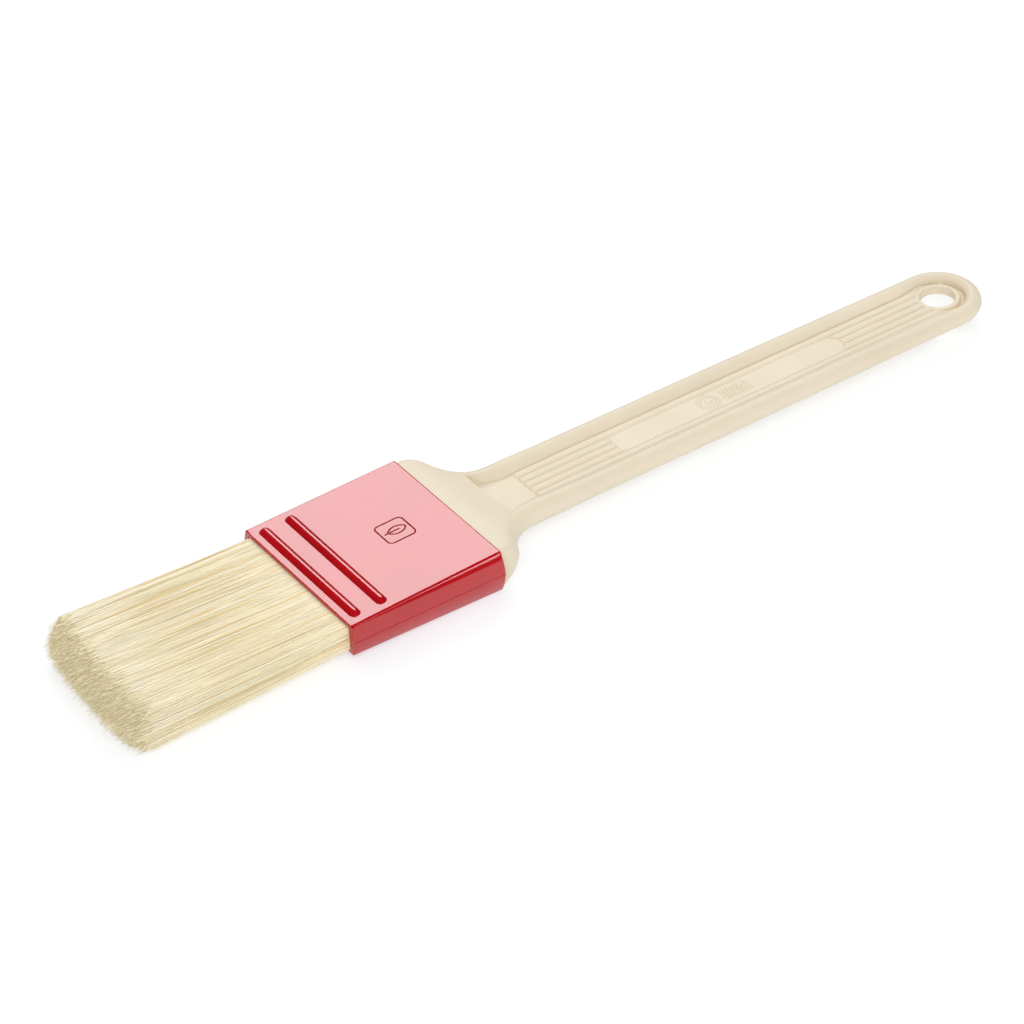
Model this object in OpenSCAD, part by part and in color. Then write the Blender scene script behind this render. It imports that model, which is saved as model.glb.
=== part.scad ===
// Flat pastry brush: a moulded handle plugged into a moulded ferrule, with two
// rows of bristles set in resin on either side of a spacer strip.
// +X runs from the bristles to the hanging hole, +Y across the brush, +Z up.
// The origin is the centre of the hanging hole, halfway through the handle.

/* [Ferrule] */
// Width of the ferrule, which is the size the brush is sold by
ferrule_w = 50; // [44:1:56]
// Length of the ferrule
ferrule_l = 46; // [42:1:54]
// Thickness of the ferrule at its mouth, where the bristles leave
mouth_t = 9.5; // [8:0.5:11]
// Thickness of the ferrule at its heel, where the handle enters
heel_t = 12.4; // [11:0.2:14]
// Wall thickness of the ferrule
ferrule_wall = 1.1; // [0.8:0.1:1.4]
// Radius of the long edges at the heel
ferrule_edge_r = 1.7; // [1.6:0.1:3.2]
// Distance from the mouth to the first grip bead
bead_from_mouth = 3.6; // [3:0.2:6]
// Distance between the two grip beads
bead_pitch = 7.9; // [5:0.1:10]
// Height of a grip bead above the face
bead_h = 1.1; // [0.6:0.1:1.4]

/* [Handle] */
// Distance from the ferrule's mouth to the centre of the hanging hole
hole_to_mouth = 208; // [180:1:240]
// Half the width of the grip where it leaves the head
grip_hw_neck = 12.5; // [11:0.1:14]
// Half the width of the grip at its rounded end
grip_hw_end = 12.1; // [11.5:0.1:14]
// Radius of the round rails along both edges of the grip
rail_r = 2.9; // [2.6:0.1:3.2]
// Thickness of the flat web between the rails
web_t = 2; // [1.6:0.1:2.6]
// Thickness of the head against the ferrule
head_t = 11.6; // [10:0.2:12]
// Radius of the head's shoulders
shoulder_r = 7; // [4:0.5:8]
// Radius of the hanging hole
hole_r = 4.8; // [3:0.1:5]
// Height of the grip ribs above the web
rib_h = 0.4; // [0.2:0.1:0.6]
// Distance between neighbouring ribs
rib_pitch = 2.6; // [2.4:0.1:2.8]

/* [Bristles] */
// Length of bristle outside the ferrule
free_l = 63; // [40:1:80]
// Thickness of the whole brush at the bristle tips
tip_t = 12.4; // [9:0.2:15]
// Width of the brush at the bristle tips
tip_w = 50; // [46:1:54]

/* [Hidden] */
$fn = 64;

// Clearance between fixed neighbours
gap = 0.05;
// Extra reach of a cutting shape past the face that it opens
over = 1;

mouth_x = -hole_to_mouth;
heel_x = mouth_x + ferrule_l;
cavity_w = ferrule_w - 2 * ferrule_wall;
cavity_mouth_t = mouth_t - 2 * ferrule_wall;
cavity_heel_t = heel_t - 2 * ferrule_wall;
cavity_edge_r = ferrule_edge_r - ferrule_wall;

bead_r = 1.6;
bead_length = 0.9 * ferrule_w;

// Inside the ferrule, from the mouth inwards
spacer_from = 3;
resin_from = 14;
roots_to = 26;
resin_to = 27;
tongue_from = 28;
spacer_t = 1.4;
row_t = (cavity_mouth_t - spacer_t) / 2 - 2 * gap;
row_w = cavity_w - 4 * gap;

// The bristles bend about a line 15% of the way along their free length
flex_from_mouth = 0.15 * free_l;
flex_x = mouth_x - flex_from_mouth;
flex_r = cavity_mouth_t / 2;
flex_gap = 0.4;
tip_corner_r = 3;
row_split = 0.04;

// The head, in plan: a shoulder arc that runs into a hollow neck arc
head_hw = ferrule_w / 2 - 0.6;
head_slope_from = 3;
shoulder_x = heel_x + 1.6;
shoulder_y = head_hw - shoulder_r;
neck_x = heel_x + 20;
neck_dx = neck_x - shoulder_x;
neck_dy = shoulder_y - grip_hw_neck;
neck_r = (neck_dx * neck_dx + neck_dy * neck_dy - shoulder_r * shoulder_r)
         / (2 * (neck_dy + shoulder_r));
neck_y = grip_hw_neck + neck_r;
head_edge_r = 3;

// The grip's web lies between the centre lines of the two rails
rail_neck_y = grip_hw_neck - rail_r;
rail_end_y = grip_hw_end - rail_r;
rail_run = 0 - neck_x;
rail_lean = atan((rail_neck_y - rail_end_y) / rail_run);
pocket_x = heel_x + 14;
rib_count = 5;
rib_r = 1.9;
rib_from = heel_x + 24.5;
rib_to = -8;
pad_from = -109;
pad_to = -33;
pad_hw = 1.5 * rib_pitch;

// The raised ring round the hanging hole
ring_w = 1.5;
ring_t = 2.9;
ring_edge_r = 0.6;
moat_w = 1.1;

// Extrudes a shape drawn in X and Z across the brush
module across(w) {
    rotate([90, 0, 0])
        linear_extrude(height = w, center = true)
            children();
}

// Extrudes a shape drawn in Y and Z along the brush, starting at x
module along(x, l) {
    translate([x, 0, 0])
        rotate([90, 0, 90])
            linear_extrude(height = l)
                children();
}

// A rectangle with round corners, centred on the origin
module rounded_rect(w, h, r) {
    square([w - 2 * r, h], center = true);
    square([w, h - 2 * r], center = true);
    for (sx = [-1, 1], sy = [-1, 1])
        translate([sx * (w / 2 - r), sy * (h / 2 - r)])
            circle(r = r);
}

// The inside or outside of the ferrule between two distances from the mouth
module ferrule_block(w, t_mouth, t_heel, r, from, to) {
    slope = (t_heel - t_mouth) / 2 / ferrule_l;
    z_from = t_mouth / 2 + slope * from;
    z_to = t_mouth / 2 + slope * to;
    intersection() {
        across(w)
            polygon([[mouth_x + from, -z_from], [mouth_x + to, -z_to],
                     [mouth_x + to, z_to], [mouth_x + from, z_from]]);
        along(mouth_x + from, to - from)
            rounded_rect(w, max(2 * z_to, t_heel), r);
    }
}

// The space inside the ferrule, less a clearance all round
module cavity_block(clear, from, to) {
    ferrule_block(cavity_w - 2 * clear, cavity_mouth_t - 2 * clear,
                  cavity_heel_t - 2 * clear, cavity_edge_r, from, to);
}

// A round-ended bead across the upper face, at a distance from the mouth
module grip_bead(from) {
    face_z = mouth_t / 2 + (heel_t - mouth_t) / 2 * from / ferrule_l;
    reach = bead_length / 2 - bead_r;
    translate([mouth_x + from, 0, face_z + bead_h - bead_r]) {
        rotate([90, 0, 0])
            cylinder(r = bead_r, h = 2 * reach, center = true);
        for (side = [-1, 1])
            translate([0, side * reach, 0])
                sphere(r = bead_r);
    }
}

module ferrule() {
    color("#c8000f")
        difference() {
            union() {
                ferrule_block(ferrule_w, mouth_t, heel_t, ferrule_edge_r,
                              0, ferrule_l);
                for (flip = [0, 1], row = [0, 1])
                    mirror([0, 0, flip])
                        grip_bead(bead_from_mouth + row * bead_pitch);
            }
            cavity_block(0, -over, ferrule_l + over);
        }
}

// A flat strip between the two rows of bristles
module spacer_strip() {
    color("#d2b48c")
        translate([mouth_x + spacer_from, -row_w / 2, -spacer_t / 2])
            cube([roots_to - spacer_from, row_w, spacer_t]);
}

// The fixed part of the upper row, from the resin out to the bending line
module root_row() {
    outside = flex_from_mouth - flex_r - flex_gap;
    translate([mouth_x - outside, -row_w / 2, spacer_t / 2 + gap])
        cube([roots_to + outside, row_w, row_t]);
}

module upper_bristle_roots() {
    color("#ebe1b4")
        root_row();
}

module lower_bristle_roots() {
    color("#e3d8a6")
        mirror([0, 0, 1])
            root_row();
}

// Resin that fills the ferrule round the bristle roots and the spacer
module resin_plug() {
    slot_t = spacer_t + 2 * row_t + 4 * gap;
    color("#c9a24a")
        difference() {
            cavity_block(gap, resin_from, resin_to);
            translate([mouth_x + resin_from - over, -row_w / 2 - gap, -slot_t / 2])
                cube([roots_to - resin_from + over + gap, row_w + 2 * gap, slot_t]);
        }
}

// The free length of both rows, with a round root end on the bending line
module bristle_tuft() {
    round_x = mouth_x - free_l + tip_corner_r;
    round_z = tip_t / 2 - tip_corner_r;
    intersection() {
        across(tip_w + 2 * over)
            union() {
                translate([flex_x, 0])
                    circle(r = flex_r);
                polygon([[flex_x, -flex_r], [flex_x, flex_r],
                         [round_x, tip_t / 2], [round_x, -tip_t / 2]]);
                translate([mouth_x - free_l, -round_z])
                    square([2 * tip_corner_r, 2 * round_z]);
                for (side = [-1, 1])
                    translate([round_x, side * round_z])
                        circle(r = tip_corner_r);
            }
        linear_extrude(height = 2 * tip_t, center = true)
            polygon([[mouth_x, -row_w / 2], [mouth_x, row_w / 2],
                     [mouth_x - free_l, tip_w / 2], [mouth_x - free_l, -tip_w / 2]]);
    }
}

// The half of the free length above the middle plane
module upper_half() {
    intersection() {
        bristle_tuft();
        translate([mouth_x - free_l - over, -tip_w, row_split / 2])
            cube([free_l + 2 * over, 2 * tip_w, tip_t]);
    }
}

module upper_bristle_tips() {
    color("#f0e7c0")
        upper_half();
}

module lower_bristle_tips() {
    color("#e6dcae")
        mirror([0, 0, 1])
            upper_half();
}

// The head in plan, from the ferrule's heel to the neck
module head_plan() {
    difference() {
        union() {
            translate([heel_x, -head_hw])
                square([shoulder_x - heel_x, 2 * head_hw]);
            translate([heel_x, -shoulder_y])
                square([neck_x - heel_x, 2 * shoulder_y]);
            for (side = [-1, 1])
                translate([shoulder_x, side * shoulder_y])
                    circle(r = shoulder_r);
        }
        for (side = [-1, 1])
            translate([neck_x, side * neck_y])
                circle(r = neck_r);
    }
}

// The head seen from the side: full thickness, then a slope down to the rails
module head_side() {
    polygon([[heel_x, -head_t / 2], [heel_x + head_slope_from, -head_t / 2],
             [pocket_x, -rail_r], [pocket_x, rail_r],
             [heel_x + head_slope_from, head_t / 2], [heel_x, head_t / 2]]);
}

module head() {
    intersection() {
        linear_extrude(height = head_t, center = true)
            head_plan();
        across(ferrule_w)
            head_side();
        along(heel_x, neck_x - heel_x)
            rounded_rect(2 * head_hw, head_t, head_edge_r);
    }
}

// The part of the handle that plugs into the ferrule
module tongue() {
    cavity_block(gap, tongue_from, ferrule_l + gap);
}

// A round rail along one edge, with its bend round the neck
module side_rail() {
    translate([0, rail_end_y, 0])
        rotate([0, -90, -rail_lean])
            cylinder(r = rail_r, h = rail_run / cos(rail_lean));
    translate([neck_x, neck_y, 0])
        rotate([0, 0, 205])
            rotate_extrude(angle = 65)
                translate([neck_r + rail_r, 0])
                    circle(r = rail_r);
}

// The half ring that joins the two rails round the end of the handle
module end_rail() {
    rotate([0, 0, -90])
        rotate_extrude(angle = 180)
            translate([rail_end_y, 0])
                circle(r = rail_r);
}

module web() {
    linear_extrude(height = web_t, center = true) {
        polygon([[neck_x, -rail_neck_y], [neck_x, rail_neck_y],
                 [0, rail_end_y], [0, -rail_end_y]]);
        circle(r = rail_end_y);
        translate([pocket_x - over, -rail_neck_y])
            square([neck_x - pocket_x + 2 * over, 2 * rail_neck_y]);
    }
}

// The ribs that stand proud of both faces of the web, cut back round the pad
module grip_ribs() {
    difference() {
        for (side = [-1, 1], i = [0 : rib_count - 1])
            translate([rib_from, (i - (rib_count - 1) / 2) * rib_pitch,
                       side * (web_t / 2 + rib_h - rib_r)])
                rotate([0, 90, 0])
                    cylinder(r = rib_r, h = rib_to - rib_from);
        for (side = [-1, 1])
            translate([0, 0, side * (web_t / 2 + over)])
                linear_extrude(height = 2 * over, center = true) {
                    translate([pad_from, -pad_hw])
                        square([pad_to - pad_hw - pad_from, 2 * pad_hw]);
                    translate([pad_to - pad_hw, 0])
                        circle(r = pad_hw);
                }
    }
}

// The round-edged ring that lines the hanging hole
module hole_ring() {
    rotate_extrude()
        translate([hole_r + ring_w / 2, 0])
            rounded_rect(ring_w, ring_t, ring_edge_r);
}

module handle() {
    color("#edddc6") {
        difference() {
            union() {
                tongue();
                head();
                web();
                grip_ribs();
                for (flip = [0, 1])
                    mirror([0, flip, 0])
                        side_rail();
                end_rail();
            }
            cylinder(r = hole_r + ring_w / 2, h = 2 * rail_r, center = true);
            for (side = [-1, 1])
                translate([0, 0, side * (web_t / 2 + over)])
                    cylinder(r = hole_r + ring_w + moat_w, h = 2 * over, center = true);
        }
        hole_ring();
    }
}

handle();
ferrule();
spacer_strip();
resin_plug();
upper_bristle_roots();
lower_bristle_roots();
upper_bristle_tips();
lower_bristle_tips();
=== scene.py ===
"""Looks of the flat pastry brush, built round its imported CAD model.

Lengths are millimetres and angles degrees, and MM turns a length into Blender's metres.
"""

import math

import bmesh
import bpy
import numpy as np
from mathutils import Matrix, Vector
from mathutils.geometry import delaunay_2d_cdt


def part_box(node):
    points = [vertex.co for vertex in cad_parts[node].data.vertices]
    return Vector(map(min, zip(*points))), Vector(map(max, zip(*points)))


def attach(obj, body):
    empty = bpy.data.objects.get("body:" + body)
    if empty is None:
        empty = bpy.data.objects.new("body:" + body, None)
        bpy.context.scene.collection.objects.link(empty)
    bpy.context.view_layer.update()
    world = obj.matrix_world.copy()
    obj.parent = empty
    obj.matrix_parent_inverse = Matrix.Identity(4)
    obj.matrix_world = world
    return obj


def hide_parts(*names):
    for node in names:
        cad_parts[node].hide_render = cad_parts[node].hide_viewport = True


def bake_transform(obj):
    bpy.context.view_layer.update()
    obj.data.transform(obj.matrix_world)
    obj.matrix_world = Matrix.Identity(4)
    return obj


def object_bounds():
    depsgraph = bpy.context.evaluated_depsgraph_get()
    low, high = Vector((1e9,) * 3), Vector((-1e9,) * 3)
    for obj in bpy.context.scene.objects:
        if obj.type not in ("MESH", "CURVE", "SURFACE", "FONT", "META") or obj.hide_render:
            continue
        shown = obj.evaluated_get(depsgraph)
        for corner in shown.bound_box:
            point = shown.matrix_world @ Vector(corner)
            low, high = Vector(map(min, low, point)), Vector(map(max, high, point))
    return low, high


MM = 0.001

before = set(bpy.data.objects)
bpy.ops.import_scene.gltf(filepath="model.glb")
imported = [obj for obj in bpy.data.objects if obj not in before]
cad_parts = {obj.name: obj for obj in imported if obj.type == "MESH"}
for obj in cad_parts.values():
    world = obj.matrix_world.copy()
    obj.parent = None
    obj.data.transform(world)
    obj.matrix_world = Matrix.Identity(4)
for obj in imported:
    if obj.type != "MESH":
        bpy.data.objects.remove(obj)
CAD_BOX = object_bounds()


def node_box(*nodes):
    """Lowest and highest corner of some CAD nodes together."""
    corners = np.array([list(corner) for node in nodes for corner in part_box(node)]) / MM
    return corners.min(0), corners.max(0)


# -------------------------------- sizes from the frame

FERRULE_LOW, FERRULE_HIGH = node_box("ferrule")
HANDLE_LOW, HANDLE_HIGH = node_box("handle")
ROW_LOW, ROW_HIGH = node_box("upper_bristle_roots")
TIPS_LOW, TIPS_HIGH = node_box("upper_bristle_tips", "lower_bristle_tips")
RESIN_LOW, _ = node_box("resin_plug")
SPACER_LOW, _ = node_box("spacer_strip")

MOUTH_X = FERRULE_LOW[0]
HEEL_X = FERRULE_HIGH[0]
FERRULE_L = HEEL_X - MOUTH_X
FERRULE_HALF_W = FERRULE_HIGH[1]
HEEL_HALF_T = FERRULE_HIGH[2]
END_R = HANDLE_HIGH[0]
TONGUE_X = HANDLE_LOW[0]
FREE_L = MOUTH_X - TIPS_LOW[0]
TIP_HALF_T = TIPS_HIGH[2]
TIP_HALF_W = TIPS_HIGH[1]

# -------------------------------- sizes of the looks

# The origin is the middle of the hanging hole, and places without HEEL_X are measured from it.

# Ferrule. A pair holds the values at the mouth and at the heel.
MOUTH_HALF_T = 4.75
WALL = 1.1
EDGE_R = 0.4
EDGE_OUT = (0.2, -0.25)  # how far past the CAD's side the rounded edge ends
SIDE_BULGE = (1.2, 1.45)  # how far past the CAD's side the middle of the side lies
SIDE_POWER = 1.7  # of the curve from the one to the other
SIDE_HEIGHTS = (0.94, 0.86, 0.76, 0.65, 0.53, 0.4, 0.27, 0.14)  # of the points on that curve
BORE_BULGE = 0.1
RIM_R = 0.22
HEEL_RIM = 0.6  # how long the heel's rounding is along X
PARTING_W = 0.16
PARTING_DEPTH = 0.09
FACE_STEP = 1.6  # between the points of the even grid over a face
FACE_MARGIN = 2.6  # from the CAD's side to the outermost of them
FACE_ROW_GAPS = (0.12, 0.4, 0.9)  # of the rows of points along a side

# The two raised beads across the ferrule
BEADS_FROM_MOUTH = (3.65, 11.55)
BEAD_R = 1.65
BEAD_H = 1.05
BEAD_REACH = 21
BEAD_FILLET = 0.22
BEAD_STEP = 1.5
BEAD_FOOT = math.sqrt(BEAD_R ** 2 - (BEAD_R - BEAD_H) ** 2)
BEAD_RING_SHARES = (0.2, 0.4, 0.58, 0.74, 0.86)  # rings of points on the dome
BEAD_RING_GAPS = (-0.12, -0.05, 0.03, 0.11, 0.25)  # rings of points about its foot
BEAD_CLEAR = 0.45

# The emblem on the ferrule: a leaf in a rounded square
EMBLEM_FROM_MOUTH = 29.9
EMBLEM_HALF = 4.15
EMBLEM_CORNER = 1.4
EMBLEM_LINE = 0.17
EMBLEM_H = 0.08
EMBLEM_MARGIN = 0.45
EMBLEM_STEP = 0.085
EMBLEM_BAND = EMBLEM_LINE + 0.22  # how far from a line every point is kept
EMBLEM_SPARSE = 6  # further off, one point in this many is
LEAF_MIDDLE = 0.5
LEAF_HALF_L = 2.7
LEAF_HALF_W = 1.5
VEIN_MIDDLE = -0.95
VEIN_HALF_L = 2.1

# Handle in plan, from the heel to the end of the grip
HEAD_HALF_W = FERRULE_HALF_W - 0.3
SHOULDER_R = 7
SHOULDER_X = HEEL_X + 1.6
NECK_X = HEEL_X + 20
NECK_HALF_W = 12.5
LEDGE_X = HEEL_X + 12.5
LEDGE_HALF_L = 0.2
TONGUE_GAP = 0.05
TONGUE_TIP_GAP = 0.35
TONGUE_CHAMFER_L = 0.4

# Values along the handle: the first one, then each change as (amount, from, to)
HEAD_HALF_T = HEEL_HALF_T - 0.25
# Height of the upper face at the crest of its rounded edge
RAIL_Z = (
    HEAD_HALF_T,
    (-2.35, HEEL_X + 1.5, HEEL_X + 16.5), (-0.55, HEEL_X + 15, HEEL_X + 42), (-0.55, -80, 8),
)
# How far in from the outline the rounded edge reaches its crest, and the power of its superellipse
EDGE_REACH = (1.7, (1.9, HEEL_X + 1, HEEL_X + 13), (-0.75, HEEL_X + 12, HEEL_X + 30))
EDGE_POWER = (2.8, (-0.8, HEEL_X, HEEL_X + 12))
# How far in from the outline a rail's inner flank ends
CREASE_DEPTH = (
    4.4, (1.7, LEDGE_X, NECK_X + 3), (-0.4, NECK_X + 4, NECK_X + 24), (-1.5, -9, 1),
)
# Lines of points along a rail: the share of its flank, then the distance beyond the flank's end
RAIL_LINES = (
    (0, 0), (0.2, 0), (0.4, 0), (0.6, 0), (0.8, 0), (0.93, 0), (1, -0.03), (1, 0.03),
    (1, 0.14), (1, 0.22), (1, 0.28), (1, 0.35),
)
RAIL_LINE_GAP = 1.6  # the longest step between neighbours on such a line
EDGE_TURNS = (4, 10, 18, 28, 38, 48, 58, 68, 78)  # round the edge, 0 at its foot and 90 at its crest
UNDER_DRAW_L = 0.8  # how far the shoulders draw in towards the bottom
UNDER_DRAW_SHARE = 0.03

# The handle's web between the rails, its ribs and its pad
FLANK_FOOT_Z = 1.7
FLANK_POWER = 1.5
STEP_SLOPE = 3.0  # of the small step from a flank's end down to the web
CREASE_FILLET = 0.12
WEB_Z = 0.95
RIBS_FROM = HEEL_X + 24.5
RIBS_TO = -1.5
RIB_PITCH = 2.6
RIB_R = 2.5
RIB_Z = 1.36
RIBS_OUTER_DROP = 0.25  # of the strip beyond the last rib
RIB_END_HALF_L = 0.3
RIB_FADE_L = 4
WEB_HALF_W = 7.2
WEB_STEP = 0.9
PAD_FROM = -109
PAD_TO = -33.2
PAD_HALF_W = 3.9
PAD_CORNER = 1.3
PAD_RISE = 0.05

# The moulded mark on the pad: a ring with a dot, then two rows of ticks
MARK_X = -78.2
MARK_H = 0.2
MARK_RING_R = 2.7
MARK_RING_HALF_W = 0.25
MARK_DOT_R = 0.75
TICKS_FROM = 5.2
TICK_PITCH = 1.15
TICK_GAPS = 7
TICK_HALF_L = 0.75
TICK_HALF_W = 0.3
TICK_ROW_Y = 1.25

# The hanging hole, the ring round it, the moat round the ring, and the rings of points over them
HOLE_R = 4.8
RING_R = 6.3
RING_Z = 1.4
RING_EDGE_R = 0.6
MOAT_R = 7.9
MOAT_Z = 0.45
MOAT_EDGE = 0.6
MOAT_FADE_L = 5
RING_RADII = (4.86, 4.96, 5.12, 5.35, 5.75, 5.98, 6.14, 6.24, 6.3, 6.36, 6.5, 6.9, 7.4, 7.8)

# Bristles
STRANDS_PER_PIECE = 3600
PIECES_PER_ROW = 2
STRAND_R = 0.12
STRAND_THICKNESS = (0.75, 1.15)  # the thinnest and the thickest, as shares of STRAND_R
STRAND_CLEAR = 0.03
STRAND_SHARES = (0, 0.16, 0.34, 0.52, 0.7, 0.86, 0.975)  # of the free length, one for each ring
ROOT_XS = (RESIN_LOW[0] + 2, SPACER_LOW[0] - 0.5)  # of the two rings inside the ferrule
SPREAD_POWER = 1.12
TAPER = 0.15
LOCK_COUNT = 3
LOCK_SWAY_Y = 0.12
LOCK_SWAY_Z = 0.07
TIP_INSET_Y = 1.0
TIP_INSET_Z = 0.3
TIP_SHIFT_Y = 0.6
TIP_SCATTER_Y = 0.3
TIP_SCATTER_Z = 0.22
OUTSIDE_CUT = {1: 4.2, -1: 3.0}  # how much shorter the outermost strands are, above and below
OUTSIDE_POWER = 2.4
CORNER_CUT = 2.8
SKEW = 1.3
LENGTH_EXTRA = 0.1
LENGTH_SCATTER = 1.15
UPPER_SHORTER = 0.8
BOW_Y = 0.2
BOW_Z = 0.14


# -------------------------------- geometry tools

def ramp(x, start, end):
    """Smooth step from 0 at start to 1 at end."""
    t = np.clip((x - start) / (end - start), 0, 1)
    return t * t * (3 - 2 * t)


def smooth_max(a, b, fillet):
    """The higher of two heights, with the crease between them filled."""
    near = np.clip(1 - np.abs(a - b) / fillet, 0, 1)
    return np.maximum(a, b) + fillet * near * near / 4


def steps(start, end, step):
    """Evenly spaced numbers from start to end, no further apart than step."""
    return np.linspace(start, end, max(2, math.ceil(abs(end - start) / step) + 1))


def arc(centre, radius, start, end, step):
    """Points along an arc."""
    turn = np.radians(steps(start, end, math.degrees(step / radius)))
    return np.stack([centre[0] + radius * np.cos(turn), centre[1] + radius * np.sin(turn)], 1)


def profile(x, first, *changes):
    """A value along X that starts at first and makes smooth changes, each (amount, from, to)."""
    for amount, start, end in changes:
        first = first + amount * ramp(x, start, end)
    return first


def lattice(xs, ys):
    """Every pairing of some X and Y values, as points."""
    return np.stack(np.meshgrid(xs, ys), -1).reshape(-1, 2)


def quadratic(start, corner, end, count):
    """Points along a quadratic curve that leaves start and reaches end along lines to its corner."""
    share = np.linspace(0, 1, count)[:, None]
    return (1 - share) ** 2 * start + 2 * share * (1 - share) * corner + share ** 2 * end


def distance_to(points, line):
    """Distance from each point to the nearest place on a polyline."""
    nearest = np.full(len(points), np.inf)
    for a, b in zip(line[:-1], line[1:]):
        run = b - a
        along = np.clip((points - a) @ run / (run @ run), 0, 1)
        gap = points - a - along[:, None] * run
        nearest = np.minimum(nearest, (gap * gap).sum(1))
    return np.sqrt(nearest)


def inside(points, loops):
    """Whether each point lies in the area that closed loops bound, by the even-odd rule."""
    odd = np.zeros(len(points), bool)
    x, y = points.T
    for loop in loops:
        for (ax, ay), (bx, by) in zip(loop, np.roll(loop, -1, axis=0)):
            if ay != by:
                cut = ax + (y - ay) * (bx - ax) / (by - ay)
                odd ^= ((ay > y) != (by > y)) & (x < cut)
    return odd


def triangulate(points, loops, creases=()):
    """Triangles over the area inside closed loops of point indices, through all points and creases."""
    edges = [pair for loop in loops for pair in zip(loop, loop[1:] + loop[:1])]
    edges += [pair for crease in creases for pair in zip(crease[:-1], crease[1:])]
    flat = [Vector(p) for p in points.tolist()]
    _, _, faces, origins, _, _ = delaunay_2d_cdt(flat, edges, [], 0, 1e-7)
    triangles = np.array([[origins[i][0] for i in face] for face in faces])
    kept = inside(points[triangles].mean(1), [points[loop] for loop in loops])
    return triangles[kept].tolist()


def inward(loop, closed):
    """Unit normals to the left of a polyline, one for each point."""
    if closed:
        ahead = np.roll(loop, -1, axis=0)
        behind = np.roll(loop, 1, axis=0)
    else:
        ahead = np.vstack([loop[1:], loop[-1:]])
        behind = np.vstack([loop[:1], loop[:-1]])
    run = ahead - behind
    run /= np.linalg.norm(run, axis=1)[:, None]
    return np.stack([-run[:, 1], run[:, 0]], 1)


class Shell:
    """The points and faces of one mesh, gathered loop by loop."""

    def __init__(self):
        self.points = []
        self.faces = []

    def add(self, points):
        """Adds points and returns their indices."""
        first = len(self.points)
        self.points.extend(np.asarray(points, float).tolist())
        return list(range(first, len(self.points)))

    def strip(self, a, b, closed=False):
        """Joins two rows of points with quads."""
        pairs = list(zip(a, b))
        if closed:
            pairs.append(pairs[0])
        for (a0, b0), (a1, b1) in zip(pairs[:-1], pairs[1:]):
            self.faces.append((a0, a1, b1, b0))

    def fill(self, loops, axes):
        """Fills the flat area between closed loops, seen along the third axis."""
        used = [i for loop in loops for i in loop]
        place = {index: k for k, index in enumerate(used)}
        flat = np.array([self.points[i] for i in used])[:, axes]
        local = [[place[i] for i in loop] for loop in loops]
        for triangle in triangulate(flat, local):
            self.faces.append(tuple(used[k] for k in triangle))

    def rim(self, loop, depth, radius):
        """Rounds a closed loop over towards depth along X and returns the last loop."""
        start_x = self.points[loop[0]][0]
        flat = np.array([self.points[i] for i in loop])[:, 1:]
        normal = inward(flat, closed=True)
        middle = flat.mean(0)
        if ((middle - flat) * normal).sum() < 0:
            normal = -normal
        for turn in np.radians((22.5, 45, 67.5, 90)):
            ring = flat + normal * radius * (1 - math.cos(turn))
            x = np.full(len(ring), start_x + depth * math.sin(turn))
            following = self.add(np.column_stack([x, ring]))
            self.strip(loop, following, closed=True)
            loop = following
        return loop


def make_piece(name, points, faces, material, sharp=42, **attributes):
    """Makes a Blender object from points in millimetres, with float attributes on its points."""
    mesh = bpy.data.meshes.new(name)
    mesh.from_pydata((np.asarray(points) * MM).tolist(), [], faces)
    for key, values in attributes.items():
        layer = mesh.attributes.new(key, "FLOAT", "POINT")
        layer.data.foreach_set("value", np.asarray(values, np.float32))
    build = bmesh.new()
    build.from_mesh(mesh)
    bmesh.ops.recalc_face_normals(build, faces=build.faces)
    build.to_mesh(mesh)
    build.free()
    mesh.materials.append(material)
    mesh.shade_smooth()
    mesh.set_sharp_from_angle(angle=math.radians(sharp))
    piece = bpy.data.objects.new(name, mesh)
    bpy.context.scene.collection.objects.link(piece)
    return piece


# -------------------------------- ferrule

def face_half_t(x):
    """Half the thickness of the ferrule's outside at x."""
    return MOUTH_HALF_T + (HEEL_HALF_T - MOUTH_HALF_T) * (x - MOUTH_X) / FERRULE_L


def side_section(face_z, start_y, middle_y, groove_depth):
    """One side of a section, from one face's edge round a bulging side to the other face's edge."""
    start_z = face_z - EDGE_R
    curve = (middle_y - start_y) / start_z ** SIDE_POWER
    slope = SIDE_POWER * curve * start_z ** (SIDE_POWER - 1)
    corner = np.array([start_y - slope * EDGE_R, face_z])
    edge = quadratic(corner - [EDGE_R, 0], corner, np.array([start_y, start_z]), 9)
    side_z = start_z * np.array(SIDE_HEIGHTS)
    groove = PARTING_W / 2
    side_z = np.append(side_z, [3 * groove, groove])
    side = np.column_stack([middle_y - curve * side_z ** SIDE_POWER, side_z])
    half = np.vstack([edge, side])
    return np.vstack([half, [[middle_y - groove_depth, 0]], half[::-1] * [1, -1]])


def ferrule_section(x):
    """One side of the ferrule's outside at x."""
    start_y = FERRULE_HALF_W + np.interp(x, [MOUTH_X, HEEL_X], EDGE_OUT)
    middle_y = FERRULE_HALF_W + np.interp(x, [MOUTH_X, HEEL_X], SIDE_BULGE)
    return side_section(face_half_t(x), start_y, middle_y, PARTING_DEPTH)


def bore_section(x, inset):
    """One side, at x, of what lies inset from the ferrule's outside."""
    middle_y = FERRULE_HALF_W - inset
    return side_section(face_half_t(x) - inset, middle_y - BORE_BULGE, middle_y, 0)


def bore_tube(shell, stations):
    """Adds a tube that follows the bore through (x, inset) stations, and returns its loops."""
    loops = []
    for x, inset in stations:
        half = bore_section(x, inset)
        loop = np.vstack([half, half[::-1] * [-1, 1]])
        loops.append(shell.add(np.column_stack([np.full(len(loop), x), loop])))
    for a, b in zip(loops[:-1], loops[1:]):
        shell.strip(a, b, closed=True)
    return loops


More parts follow.
